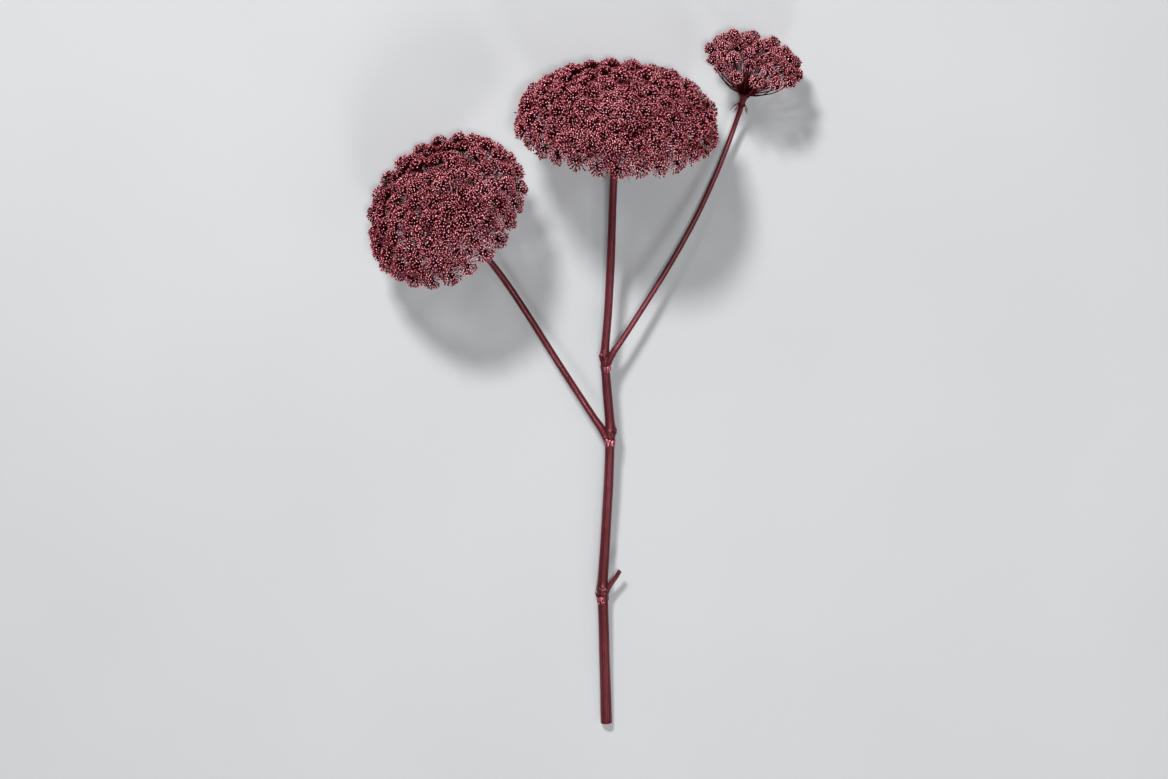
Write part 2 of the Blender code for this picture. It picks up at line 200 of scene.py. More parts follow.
def smooth_route(route, step):
    """Catmull-Rom points through the route, radius included."""
    p = [np.array(q, float) for q in route]
    p = [2 * p[0] - p[1]] + p + [2 * p[-1] - p[-2]]
    made = []
    for i in range(1, len(p) - 2):
        n = max(1, int(round(np.linalg.norm(p[i + 1][:3] - p[i][:3]) / step)))
        for k in range(n):
            t = k / n
            made.append(0.5 * (2 * p[i] + (p[i + 1] - p[i - 1]) * t
                               + (2 * p[i - 1] - 5 * p[i] + 4 * p[i + 1] - p[i + 2]) * t * t
                               + (3 * p[i] - p[i - 1] - 3 * p[i + 1] + p[i + 2]) * t**3))
    return np.array(made + [p[-2]])


# ---------------------------------------------------------------- mesh building
class Batch:
    """Vertices with a tone (the paint's colour, with painted highlights and painted shade in it) and a grain place,
    and faces with a material number, for one mesh.
    """

    def __init__(self):
        self.v, self.tone, self.grain, self.quads, self.tris = [], [], [], [], []
        self.qm, self.tm = [], []
        self.n = 0

    def add(self, verts, quads=None, tris=None, tone=0.5, grain=None, mat=0):
        verts = np.asarray(verts, float).reshape(-1, 3)
        self.v.append(verts)
        self.tone.append(np.broadcast_to(np.asarray(tone, float), (len(verts),)).copy())
        self.grain.append(verts.copy() if grain is None else np.asarray(grain, float).reshape(-1, 3))
        for faces, kept, mats in ((quads, self.quads, self.qm), (tris, self.tris, self.tm)):
            if faces is not None and len(faces):
                kept.append(np.asarray(faces, np.int64) + self.n)
                mats.append(np.full(len(faces), mat, np.int32))
        self.n += len(verts)


def swept_frames(P):
    """Tangents, normals and binormals of centre lines P (n, k, 3), turned as little as possible."""
    T = unit(np.gradient(P, axis=1))
    ref = np.where(np.abs(T[:, :1, 2:3]) < 0.9, [[[0, 0, 1.0]]], [[[1.0, 0, 0]]])[:, 0]
    N = unit(np.cross(T[:, 0], ref))
    Ns, Bs = [], []
    for i in range(P.shape[1]):
        N = unit(N - (N * T[:, i]).sum(-1, keepdims=True) * T[:, i])
        Ns.append(N)
        Bs.append(np.cross(T[:, i], N))
    return T, np.stack(Ns, 1), np.stack(Bs, 1)


def tubes(P, R, sides, phase=None, caps=(True, True)):
    """Closed tubes along P (n, k, 3) with radii R (n, k) or (n, k, sides). Returns vertices, quads, triangles."""
    P = np.asarray(P, float)
    n, k, _ = P.shape
    R = np.asarray(R, float)
    if R.ndim == 2:
        R = np.repeat(R[:, :, None], sides, 2)
    T, N, B = swept_frames(P)
    ang = TAU * np.arange(sides) / sides
    ang = ang[None, :] + (np.zeros((n, 1)) if phase is None else np.asarray(phase)[:, None])
    c, s = np.cos(ang)[:, None, :, None], np.sin(ang)[:, None, :, None]
    V = P[:, :, None, :] + R[..., None] * (c * N[:, :, None, :] + s * B[:, :, None, :])
    base = (np.arange(n) * k * sides)[:, None, None]
    i = np.arange(k - 1)[None, :, None]
    j = np.arange(sides)[None, None, :]
    a = base + i * sides + j
    b = base + i * sides + (j + 1) % sides
    quads = np.stack([a, b, b + sides, a + sides], -1).reshape(-1, 4)
    tris = []
    f = np.arange(1, sides - 1)
    start = (np.arange(n) * k * sides)[:, None]
    if caps[0]:
        tris.append(np.stack([start + 0 * f, start + f + 1, start + f], -1).reshape(-1, 3))
    if caps[1]:
        end = start + (k - 1) * sides
        tris.append(np.stack([end + 0 * f, end + f, end + f + 1], -1).reshape(-1, 3))
    return V.reshape(-1, 3), quads, (np.concatenate(tris) if tris else None)


def build(name, batch, materials, lowest=0.05):
    """Makes the mesh object of a batch, in the row's frame."""
    v = np.concatenate(batch.v) + OFFSET
    v[:, 2] = np.maximum(v[:, 2], lowest)
    quads = np.concatenate(batch.quads) if batch.quads else np.zeros((0, 4), np.int64)
    tris = np.concatenate(batch.tris) if batch.tris else np.zeros((0, 3), np.int64)
    mesh = bpy.data.meshes.new(name)
    mesh.vertices.add(len(v))
    mesh.vertices.foreach_set("co", (v * MM).astype(np.float32).ravel())
    mesh.loops.add(quads.size + tris.size)
    mesh.loops.foreach_set("vertex_index", np.concatenate([quads.ravel(), tris.ravel()]).astype(np.int32))
    mesh.polygons.add(len(quads) + len(tris))
    starts = np.concatenate([np.arange(len(quads)) * 4, quads.size + np.arange(len(tris)) * 3])
    mesh.polygons.foreach_set("loop_start", starts.astype(np.int32))
    mats = np.concatenate(batch.qm + batch.tm).astype(np.int32)
    for m in materials:
        mesh.materials.append(m)
    mesh.polygons.foreach_set("material_index", mats)
    mesh.update(calc_edges=True)
    mesh.validate()
    mesh.shade_smooth()
    tone = mesh.attributes.new("tone", "FLOAT", "POINT")
    tone.data.foreach_set("value", np.concatenate(batch.tone).astype(np.float32))
    grain = mesh.attributes.new("grain", "FLOAT_VECTOR", "POINT")
    grain.data.foreach_set("vector", np.concatenate(batch.grain).astype(np.float32).ravel())
    obj = bpy.data.objects.new(name, mesh)
    bpy.context.scene.collection.objects.link(obj)
    return obj


def place(obj, node):
    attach(obj, "root")
    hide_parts(node)


# ---------------------------------------------------------------- materials
def ramp(nodes, stops):
    n = nodes.new("ShaderNodeValToRGB")
    while len(n.color_ramp.elements) > 2:
        n.color_ramp.elements.remove(n.color_ramp.elements[-1])
    while len(n.color_ramp.elements) < len(stops):
        n.color_ramp.elements.new(0.5)
    for e, (at, colour) in zip(n.color_ramp.elements, stops):
        e.position = at
        e.color = (*colour, 1)
    return n


def noise(nodes, links, vector, scale, detail=3.0, roughness=0.55):
    n = nodes.new("ShaderNodeTexNoise")
    n.inputs["Scale"].default_value = scale
    n.inputs["Detail"].default_value = detail
    n.inputs["Roughness"].default_value = roughness
    links.new(vector, n.inputs["Vector"])
    return n.outputs["Fac"]


def maths(nodes, links, op, a, b):
    n = nodes.new("ShaderNodeMath")
    n.operation = op
    for socket, value in zip(n.inputs, (a, b)):
        if isinstance(value, (int, float)):
            socket.default_value = value
        else:
            links.new(value, socket)
    return n.outputs[0]


def painted(name, stops, metallic, rough, blotch=0.22, fibre=0.0, bump=0.25, coat=0.0, gloss=0.5, chips=0.0,
            tint=(1.0, 0.45, 0.50)):
    """Satin paint on dry plant: its colour follows the tone of each vertex, which carries painted highlights and
    painted shade besides the paint's own shades, with blotches where the dip ran thin, fine fibres along the
    grain, a slightly pebbled coat and, on stems, specks rubbed bare."""
    mat = bpy.data.materials.new(name)
    mat.use_nodes = True
    nodes, links = mat.node_tree.nodes, mat.node_tree.links
    bsdf = nodes["Principled BSDF"]
    bsdf.inputs["Metallic"].default_value = metallic
    bsdf.inputs["Specular IOR Level"].default_value = gloss
    bsdf.inputs["Specular Tint"].default_value = (*tint, 1)
    bsdf.inputs["Coat Weight"].default_value = coat
    bsdf.inputs["Coat Roughness"].default_value = 0.22
    tone = nodes.new("ShaderNodeAttribute")
    tone.attribute_name = "tone"
    grain = nodes.new("ShaderNodeAttribute")
    grain.attribute_name = "grain"
    place_ = nodes.new("ShaderNodeTexCoord").outputs["Object"]
    patches = noise(nodes, links, place_, 150.0, 3.0)
    specks = noise(nodes, links, place_, 900.0, 2.0)
    fibres = noise(nodes, links, grain.outputs["Vector"], 1.6, 4.0, 0.6)
    value = maths(nodes, links, "MULTIPLY_ADD", patches, blotch)
    add = nodes[-1]
    add.inputs[2].default_value = -blotch * 0.5
    value = maths(nodes, links, "ADD", value, tone.outputs["Fac"])
    speck = maths(nodes, links, "MULTIPLY_ADD", specks, 0.16)
    nodes[-1].inputs[2].default_value = -0.08
    value = maths(nodes, links, "ADD", value, speck)
    if fibre:
        line = maths(nodes, links, "MULTIPLY_ADD", fibres, fibre)
        nodes[-1].inputs[2].default_value = -fibre * 0.5
        value = maths(nodes, links, "ADD", value, line)
    colours = ramp(nodes, stops)
    links.new(value, colours.inputs["Fac"])
    coloured = colours.outputs["Color"]
    if chips:
        bare = nodes.new("ShaderNodeMapRange")
        bare.inputs["From Min"].default_value = 0.70
        bare.inputs["From Max"].default_value = 0.76
        bare.inputs["To Max"].default_value = chips
        links.new(noise(nodes, links, place_, 620.0, 2.0, 0.6), bare.inputs["Value"])
        mix = nodes.new("ShaderNodeMix")
        mix.data_type = "RGBA"
        mix.inputs[7].default_value = (0.36, 0.27, 0.22, 1)
        links.new(bare.outputs["Result"], mix.inputs[0])
        links.new(coloured, mix.inputs[6])
        coloured = mix.outputs[2]
    links.new(coloured, bsdf.inputs["Base Color"])
    rough_ramp = nodes.new("ShaderNodeMapRange")
    rough_ramp.inputs["From Min"].default_value = 0.3
    rough_ramp.inputs["From Max"].default_value = 0.7
    rough_ramp.inputs["To Min"].default_value = rough[0]
    rough_ramp.inputs["To Max"].default_value = rough[1]
    links.new(patches, rough_ramp.inputs["Value"])
    links.new(rough_ramp.outputs["Result"], bsdf.inputs["Roughness"])
    height = maths(nodes, links, "MULTIPLY_ADD", fibres, 0.7 if fibre else 0.2)
    links.new(specks, nodes[-1].inputs[2])
    b = nodes.new("ShaderNodeBump")
    b.inputs["Strength"].default_value = bump
    b.inputs["Distance"].default_value = 0.0003
    links.new(height, b.inputs["Height"])
    links.new(b.outputs["Normal"], bsdf.inputs["Normal"])
    return mat


# Paint colours by tone. The near-black low stops are painted shade for the depths of the umbels; the pale top stop is
# the painted highlight on the fruits' points.
ROSE = [(0.0, (0.008, 0.0003, 0.0006)), (0.25, (0.044, 0.0018, 0.0037)), (0.50, (0.125, 0.0082, 0.0140)),
        (0.72, (0.36, 0.057, 0.079)), (1.0, (0.96, 0.430, 0.490))]
STEM = [(0.0, (0.016, 0.0012, 0.0019)), (0.30, (0.044, 0.0043, 0.0068)), (0.60, (0.088, 0.0120, 0.0172)),
        (1.0, (0.28, 0.078, 0.092))]
fruit_paint = painted("fruit_paint", ROSE, 0.60, (0.24, 0.40), blotch=0.22, bump=0.20, gloss=0.4)
ray_paint = painted("ray_paint", ROSE, 0.45, (0.38, 0.54), blotch=0.16, fibre=0.22, bump=0.25, gloss=0.06)
stem_paint = painted("stem_paint", STEM, 0.45, (0.28, 0.40), blotch=0.14, fibre=0.26, bump=0.28, coat=0.1, chips=0.5,
                     tint=(1.0, 0.60, 0.64))
scar_paint = painted("leaf_base_paint", ROSE, 0.35, (0.16, 0.30), blotch=0.50, fibre=0.45, bump=0.6, coat=0.5, gloss=0.9,
                     tint=(1.0, 0.75, 0.78))
disc_paint = painted("disc_paint", STEM, 0.20, (0.40, 0.56), blotch=0.25, fibre=0.1, bump=0.4, gloss=0.3)
PITH = [(0.0, (0.13, 0.045, 0.045)), (0.35, (0.36, 0.19, 0.14)), (0.65, (0.55, 0.40, 0.29)), (1.0, (0.72, 0.60, 0.46))]
pith = painted("cut_pith", PITH, 0.0, (0.7, 0.9), blotch=0.35, fibre=0.2, bump=0.6)

# ---------------------------------------------------------------- stems
def ribbed(line, sides, ribs, depth, seed, joints=()):
    """A ribbed tube along a fine line. Ribs fade and knot at the joints."""
    rng = np.random.RandomState(seed)
    P, R = line[:, :3], line[:, 3]
    k = len(P)
    along = np.concatenate([[0], np.cumsum(np.linalg.norm(np.diff(P, axis=0), axis=1))])
    ang = TAU * np.arange(sides) / sides
    drift = 0.10 * np.sin(along / 90.0 + seed) + 0.02 * np.sin(along / 17.0)
    a = ang[None, :] + drift[:, None]
    rib = np.abs(np.cos(0.5 * ribs * a)) ** 0.7 - 0.62
    minor = 0.25 * np.cos(ribs * 2.0 * a + 1.0)
    fade = np.ones(k)
    for j in joints:
        fade *= 1 - 0.75 * np.exp(-(((along - j) / 5.0) ** 2))
    wave = np.zeros((k, sides))
    for f in range(5):
        m, w, p1, p2 = rng.randint(1, 5), rng.uniform(14, 60), rng.uniform(0, TAU), rng.uniform(0, TAU)
        wave += 0.010 * np.cos(m * ang[None, :] + p1) * np.cos(along[:, None] / w * 2 + p2)
    lumps = np.zeros((k, sides))
    for j in joints:
        for q in range(6):
            m, p1, c = rng.randint(2, 7), rng.uniform(0, TAU), rng.uniform(-5, 5)
            lumps += 0.032 * np.cos(m * ang[None, :] + p1) * np.exp(-(((along[:, None] - j - c) / 2.4) ** 2))
        for q in range(20):
            m, p1, c = rng.randint(3, 12), rng.uniform(0, TAU), rng.uniform(-5, 4)
            run, w = rng.uniform(-2.2, 2.2), rng.uniform(1.4, 3.0)
            lumps += 0.019 * (np.cos(m * ang[None, :] + run * (along[:, None] - j) + p1)
                              * np.exp(-(((along[:, None] - j - c) / w) ** 2)))
    scale = 1 + depth * fade[:, None] * (rib + minor * 0.4) + wave + lumps
    rad = R[:, None] * scale
    V, Q, _ = tubes(P[None], rad[None], sides, caps=(False, False))
    # Tone: ridges lighter and grooves darker, a painted highlight and painted shade; the crinkles at the joints
    # lighter where they stand out and darker in their dents, painted highlight and painted shade; a slow wave along
    # the stem.
    tone = 0.50 + 0.34 * fade[:, None] * rib + 0.06 * np.sin(along / 31.0)[:, None] + 2.0 * lumps
    grain = np.stack([R[:, None] * np.cos(ang)[None, :] * 1.6, R[:, None] * np.sin(ang)[None, :] * 1.6,
                      np.repeat((along * 0.045)[:, None], sides, 1)], -1)
    return V, Q, tone, grain, along


def cut_face(batch, line, sides, scale_ring, at_start, lift, mat):
    """The cut across a stem: a rim of wall, and pith sunk a little inside it."""
    P, R = (line[0, :3], line[0, 3]) if at_start else (line[-1, :3], line[-1, 3])
    T = unit(line[1, :3] - line[0, :3]) if at_start else unit(line[-1, :3] - line[-2, :3])
    out = -T if at_start else T
    rng = np.random.RandomState(int(abs(P[1])) + 5)
    rings = [(1.0, 0.0), (0.95, 0.35), (0.88, 0.42), (0.78, 0.30), (0.70, -0.25), (0.55, -0.55), (0.35, -0.45), (0.15, -0.6)]
    centre = P
    V = []
    tone = []
    ring0 = scale_ring - centre
    for f, h in rings:
        wob = rng.uniform(-0.12, 0.12, sides) * (0.3 if f > 0.9 else 1.0)
        p = centre + ring0 * f + out * (h + wob[:, None] * 1.0)
        V.append(p)
        tone.append(np.full(sides, 0.25 if f > 0.9 else (0.45 if f > 0.72 else 0.8)) * lift + rng.uniform(-0.2, 0.2, sides))
    V = np.concatenate(V)
    tone = np.concatenate(tone)
    k = len(rings)
    Q = []
    for i in range(k - 1):
        for j in range(sides):
            a, b = i * sides + j, i * sides + (j + 1) % sides
            Q.append((a, a + sides, b + sides, b) if at_start is False else (a, a + sides, b + sides, b)[::-1])
    last = (k - 1) * sides
    tris = []
    for j in range(1, sides - 1):
        t = (last, last + j, last + j + 1)
        tris.append(t if not at_start else t[::-1])
    if not at_start:
        Q = [q[::-1] for q in Q]
        Q = [(q[0], q[1], q[2], q[3]) for q in Q]
    batch.add(V, np.array(Q), np.array(tris), tone=tone, grain=V * 1.2, mat=mat)


def joints_of(route, line):
    """How far along a line each swollen joint of its route is."""
    P = line[:, :3]
    along = np.concatenate([[0], np.cumsum(np.linalg.norm(np.diff(P, axis=0), axis=1))])
    found = []
    for a, b, c in zip(route, route[1:], route[2:]):
        if b[3] > a[3] + 0.25 and b[3] > c[3] + 0.25:
            found.append(along[np.argmin(np.linalg.norm(P - np.array(b[:3]), axis=1))])
    return found


def forked(route, below, aside):
    """The route of a side shoot, begun lower down inside the stem so that its outline runs into the stem's."""
    first = np.array(route[0], float)
    i = int(np.argmin(np.linalg.norm(main_line[:, :3] - first[:3], axis=1)))
    back = unit(main_line[i, :3] - main_line[i - 3, :3])
    out = np.array(route[1][:3], float) - first[:3]
    out = unit(out - out @ back * back)
    low = main_line[i, :3] - back * below + out * aside * 0.25
    near = main_line[i, :3] - back * below * 0.35 + out * aside
    nxt = np.array(route[1], float)
    return [(*low, first[3] * 0.9), (*near, first[3] * 1.12)] + [tuple(nxt)] + list(route[2:])


def finer(line, places, reach=8.5, parts=3):
    """The same line with more points near the joints, where the skin is crinkled."""
    along = np.concatenate([[0], np.cumsum(np.linalg.norm(np.diff(line[:, :3], axis=0), axis=1))])
    made = []
    for i in range(len(line) - 1):
        middle = 0.5 * (along[i] + along[i + 1])
        n = parts if any(abs(middle - j) < reach for j in places) else 1
        made += [line[i] + (line[i + 1] - line[i]) * k / n for k in range(n)]
    return np.array(made + [line[-1]])


def stem_piece(name, route, sides, ribs, depth, seed, cut_start=False, cut_end=False, trim=0.0):
    line = smooth_route(route, 2.6)
    if trim:
        along = np.concatenate([[0], np.cumsum(np.linalg.norm(np.diff(line[:, :3], axis=0), axis=1))])
        line = line[along >= trim]
    batch = Batch()
    places = joints_of(route, line)
    V, Q, tone, grain, along = ribbed(finer(line, places), sides, ribs, depth, seed, places)
    batch.add(V, Q, tone=tone.ravel(), grain=grain)
    rings = V.reshape(-1, sides, 3)
    if cut_start:
        cut_face(batch, line, sides, rings[0], True, 1.0, 1)
    if cut_end:
        cut_face(batch, line, sides, rings[-1], False, 0.8, 0)
    obj = build(name, batch, [stem_paint, pith])
    place(obj, name.replace("_look", ""))
    return line


main_line = stem_piece("main_stem_look", MAIN_ROUTE, 72, 17, 0.05, 3, cut_start=True)
left_line = stem_piece("left_branch_look", forked(LEFT_ROUTE, 13.0, 2.6), 56, 13, 0.055, 5)
right_line = stem_piece("right_branch_look", forked(RIGHT_ROUTE, 12.0, 2.4), 52, 12, 0.055, 7)
stem_piece("trimmed_shoot_look", forked(STUB_ROUTE, 8.0, 2.4), 40, 10, 0.06, 9, cut_end=True)


# ---------------------------------------------------------------- torn leaf bases
def leaf_base(name, at, radius, span, opening, seed):
    """A sheath torn off just above a joint: it clasps the stem on three sides and ends in ragged fibres."""
    rng = np.random.RandomState(seed)
    line = main_line[:, :3]
    i = int(np.argmin(np.linalg.norm(line - np.array(at), axis=1)))
    T = unit(line[i + 1] - line[i - 1])
    o = np.array(opening, float)
    o = unit(o - o @ T * T)
    s = np.cross(T, o)
    na, nz = 88, 18
    ang = np.linspace(0.20 * math.pi, 1.80 * math.pi, na)
    ragged = np.zeros(na)
    for f in range(9):
        ragged += rng.uniform(0.3, 1.0) * np.cos(rng.randint(3, 24) * ang + rng.uniform(0, TAU)) / 3.2
    back = np.exp(-(((ang - math.pi) / 0.55) ** 2))
    sides = np.clip(np.minimum(ang - ang[0], ang[-1] - ang) / 0.5, 0, 1) ** 0.7
    top = span * (0.55 + 0.50 * back) + ragged * 0.9
    bottom = -span * 0.75 + 0.5 * np.cos(3 * ang + seed)
    u = np.linspace(0, 1, nz)[:, None]
    h = bottom[None, :] * (1 - u) + top[None, :] * u
    crinkle = np.zeros((nz, na))
    for f in range(18):
        crinkle += 0.092 * np.cos(rng.randint(4, 23) * ang[None, :] + rng.uniform(-9, 9) * u + rng.uniform(0, TAU))
    crinkle *= np.clip(u / 0.35, 0, 1) * (0.35 + 0.65 * sides[None, :])
    # it grows out of the stem's own skin below and at its sides, and stands off only at the tear
    stand = -0.65 + 2.0 * (1 - np.exp(-u / 0.26)) + 0.25 * u**2 + 0.5 * back[None, :] * u**2.2
    stand = -0.65 + (stand + 0.65) * (0.25 + 0.75 * sides[None, :]) + crinkle
    centre = line[i]
    d = np.cos(ang)[:, None] * o + np.sin(ang)[:, None] * s
    outer = centre + d[None] * (radius + stand)[..., None] + h[..., None] * T
    inner = centre + d[None] * (radius + stand - 0.25 - 0.15 * u)[..., None] + h[..., None] * T
    V = np.concatenate([outer.reshape(-1, 3), inner.reshape(-1, 3)])
    n = na * nz
    Q = []
    for r in range(nz - 1):
        for c in range(na - 1):
            a = r * na + c
            Q.append((a, a + 1, a + na + 1, a + na))
            Q.append((n + a, n + a + na, n + a + na + 1, n + a + 1))
    for c in range(na - 1):
        a = (nz - 1) * na + c
        Q.append((a, a + 1, n + a + 1, n + a))
        Q.append((c + 1, c, n + c, n + c + 1))
    for r in range(nz - 1):
        a, b = r * na, r * na + na - 1
        Q.append((a, a + na, n + a + na, n + a))
        Q.append((b + na, b, n + b, n + b + na))
    # Tone: lighter upward from a dark foot that matches the stem; the crinkles are painted lighter where they stand
    # out and darker in their dents, a painted highlight and painted shade; the inner face is dark.
    tone = np.concatenate([(0.30 + 0.38 * u**0.8 + crinkle * 0.6).ravel(), np.full(n, 0.22)])
    grain = np.concatenate([np.stack([np.repeat(ang[None] * 6, nz, 0), u * 1.0 + 0 * ang[None], 0 * u + 0 * ang[None]], -1).reshape(-1, 3)] * 2)
    batch = Batch()
    batch.add(V, np.array(Q), tone=tone, grain=grain)
    # stiff fibres left at the tear
    m = 16
    a = rng.uniform(0.32 * math.pi, 1.68 * math.pi, m)
    dd = np.cos(a)[:, None] * o + np.sin(a)[:, None] * s
    tops = np.interp(a, ang, top)
    near = np.exp(-(((a - math.pi) / 0.55) ** 2))
    rr = radius + 0.9 + 1.0 * near
    p0 = centre + dd * rr[:, None] + (tops - 1.2)[:, None] * T
    length = rng.uniform(1.2, 3.2, m)
    way = unit(T + dd * rng.uniform(0.1, 0.7, (m, 1)) + rng.normal(0, 0.2, (m, 3)))
    ks = np.array([0, 0.5, 1.0])
    P = p0[:, None, :] + way[:, None, :] * (ks[None, :, None] * length[:, None, None])
    V2, Q2, T2 = tubes(P, np.array([0.34, 0.26, 0.08])[None, :] * rng.uniform(0.7, 1.3, (m, 1)), 4)
    batch.add(V2, Q2, T2, tone=0.6)
    obj = build(name + "_look", batch, [scar_paint])
    place(obj, name)


leaf_base("leaf_base_lower", (-4.05, 93.0, 13.7), 5.4, 6.5, (1.0, 0.2, 0.6), 2)
leaf_base("leaf_base_left", (3.4, 256.5, 22.3), 5.0, 6.0, (1.0, 0.0, -0.5), 4)
leaf_base("leaf_base_right", (-1.4, 334.0, 27.5), 4.7, 5.5, (-1.0, 0.0, 0.5), 6)


# ---------------------------------------------------------------- discs and bracts
def disc_piece(u, line):
    """The swollen top of the stem that the rays grow from, dimpled between their feet."""
    R0, z1, dome = u["disc"]
    side, up, out = axes_of(u)
    origin = np.array(u["origin"])
    top = line[-1]
    low = float(np.dot(origin - top[:3], out))
    sides = 72
    ang = TAU * np.arange(sides) / sides
    prof = [(0.02, z1 + dome)]
    prof += [(R0 * math.sin(a), z1 + dome * math.cos(a)) for a in np.linspace(0.15, math.pi / 2, 14)]
    prof += [(R0 * 0.985, z1 - 0.7), (R0 * 0.90, z1 - 1.6), (R0 * 0.76, -0.25 * low + 0.3), (R0 * 0.62, -0.6 * low),
             (top[3] * 1.03, -low + 0.2), (top[3] * 1.0, -low - 1.2)]
    prof = np.array(prof)
    rng = np.random.RandomState(u["seed"] + 50)
    rr = prof[:, 0][:, None] * np.ones(sides)
    zz = prof[:, 1][:, None] * np.ones(sides)
    bump = np.zeros_like(rr)
    for f in range(10):
        bump += 0.10 * np.cos(rng.randint(5, 26) * ang + rng.uniform(0, TAU))[None, :] * np.cos(prof[:, 0] * rng.uniform(0.8, 2.2) + rng.uniform(0, TAU))[:, None]
    rib = 0.02 * np.cos(17 * ang)[None, :] * (prof[:, 1] < z1)[:, None]
    zz = zz + bump * (prof[:, 1] > z1 - 0.5)[:, None]
    rr = rr * (1 + rib) + 0.3 * bump * (prof[:, 1] <= z1 + 1.5)[:, None]
    # the lower rings follow the stem's end, which may lean a little from the umbel's axis
    lean = np.clip((z1 - prof[:, 1]) / (z1 + low + 0.2), 0, 1)
    centre = origin + (top[:3] - (origin - low * out)) * lean[:, None] ** 1.5
    V = centre[:, None, :] + rr[..., None] * (np.cos(ang)[:, None] * side + np.sin(ang)[:, None] * up)[None] + zz[..., None] * out
    k = len(prof)
    Q = []
    for i in range(k - 1):
        for j in range(sides):
            a, b = i * sides + j, i * sides + (j + 1) % sides
            Q.append((a, a + sides, b + sides, b))
    tone = 0.22 + 0.10 * rng.uniform(-1, 1, (k, sides)) + np.clip((z1 - prof[:, 1]) / 8.0, 0, 0.25)[:, None]
    grain = np.stack([rr * np.cos(ang), rr * np.sin(ang), zz * 0.3], -1)
    batch = Batch()
    batch.add(V.reshape(-1, 3), np.array(Q), tone=tone.ravel(), grain=grain.reshape(-1, 3))
    obj = build(u["name"] + "_disc_look", batch, [disc_paint])
    place(obj, u["name"] + "_disc")


def threads(rng, start, way, bend, length, radius, sides=4, rings=6, tip=0.25):
    """Tapering threads from start (n, 3) along way, bending towards bend."""
    n = len(start)
    ts = np.linspace(0, 1, rings)
    mid = start + way * (length * 0.5)[:, None]
    end = start + unit(way * 0.55 + bend * 0.75) * length[:, None]
    P = (start[:, None] * ((1 - ts) ** 2)[None, :, None] + 2 * mid[:, None] * (ts * (1 - ts))[None, :, None]
         + end[:, None] * (ts**2)[None, :, None])
    wob = rng.normal(0, 1, (n, 1, 3)) * np.sin(ts * math.pi * 1.5)[None, :, None] * 0.05 * length[:, None, None]
    P = P + wob * ts[None, :, None]
    R = radius[:, None] * (1 - (1 - tip) * ts[None, :])
    return tubes(P, R, sides), P


def bracts_piece(u, line):
    """Thread-like forked bracts that hang back from under the disc."""
    rng = np.random.RandomState(u["seed"] + 70)
    back = line[-1, :3] - line[-5, :3]
    back = -unit(back)
    centre = line[-1, :3] + back * 5.0
    k = int(np.argmin(np.linalg.norm(line[:, :3] - centre, axis=1)))
    rs = line[k, 3] + 0.25
    e1 = unit(np.cross(-back, [0, 0, 1.0]))
    e2 = np.cross(-back, e1)
    batch = Batch()
    # a low ring of fused bases
    sides, nz = 48, 7
    ang = TAU * np.arange(sides) / sides
    hz = np.linspace(-1.5, 1.7, nz)
    rr = rs + 0.75 * np.exp(-((hz / 1.1) ** 2))[:, None] * (1 + 0.25 * np.cos(7 * ang + 1)[None, :])
    d = np.cos(ang)[:, None] * e1 + np.sin(ang)[:, None] * e2
    V = centre + rr[..., None] * d[None] - hz[:, None, None] * back
    Q = []
    for i in range(nz - 1):
        for j in range(sides):
            a, b = i * sides + j, i * sides + (j + 1) % sides
            Q.append((a, b, b + sides, a + sides))
    batch.add(V.reshape(-1, 3), np.array(Q), tone=0.34)
    n = 7
    a = TAU * (np.arange(n) + 0.5) / n + rng.uniform(-0.15, 0.15, n)
    dirs = np.cos(a)[:, None] * e1 + np.sin(a)[:, None] * e2
    reach = 0.22 * u["R"] * rng.uniform(0.8, 1.15, n)
    start = centre + dirs * (rs + 0.1)
    (V, Q, T), P = threads(rng, start, unit(dirs * 0.8 + back * 0.5), unit(back + 0.25 * dirs), reach, rng.uniform(0.36, 0.48, n), 5, 10)
    batch.add(V, Q, T, tone=0.45)
    for t, count, share in ((3, 2, 0.55), (5, 2, 0.42), (7, 1, 0.32)):
        for c in range(count):
            base = P[:, t]
            run = unit(P[:, t + 1] - P[:, t])
            across = unit(np.cross(run, dirs)) * (1 if c == 0 else -1)
            way = unit(run * 0.8 + across * 0.75 + rng.normal(0, 0.12, (n, 3)))
            (V, Q, T), _ = threads(rng, base, way, run, reach * share * rng.uniform(0.7, 1.2, n), np.full(n, 0.24), 4, 6)
            batch.add(V, Q, T, tone=0.5)
    obj = build(u["name"] + "_bracts_look", batch, [ray_paint])
    place(obj, u["name"] + "_bracts")


LINES = {"main": main_line, "left": left_line, "right": right_line}
for u in UMBELS:
    disc_piece(u, LINES[u["name"]])
    bracts_piece(u, LINES[u["name"]])


# ---------------------------------------------------------------- rays and umbellets
MORE = {"main": 192, "left": 130, "right": 24}


def clubs(foot, way, length, girth, sides=5):
    """Club-shaped fruits: a narrow ring at the stalk, a wide belly ring and a blunt point."""
    ref = np.where(np.abs(way[:, 2:3]) < 0.9, [[0, 0, 1.0]], [[1.0, 0, 0]])
    e1 = unit(np.cross(way, ref))
    e2 = np.cross(way, e1)
    ang = TAU * np.arange(sides) / sides
    lobes = (1 + 0.10 * np.cos(2 * ang))[None, :, None]
    around = (np.cos(ang)[None, :, None] * e1[:, None] + np.sin(ang)[None, :, None] * e2[:, None]) * lobes
    rings = [foot[:, None] + way[:, None] * (length * at)[:, None, None] + around * (girth * wide)[:, None, None]
             for at, wide in ((0.0, 0.42), (0.66, 1.0))]
    V = np.concatenate(rings + [(foot + way * length[:, None])[:, None]], 1)
    j = np.arange(sides)
    k = (j + 1) % sides
    quad = np.stack([j, k, k + sides, j + sides], 1)
    tri = np.stack([j + sides, k + sides, np.full(sides, 2 * sides)], 1)
    start = (np.arange(len(foot)) * (2 * sides + 1))[:, None, None]
    return V.reshape(-1, 3), (start + quad).reshape(-1, 4), (start + tri).reshape(-1, 3)


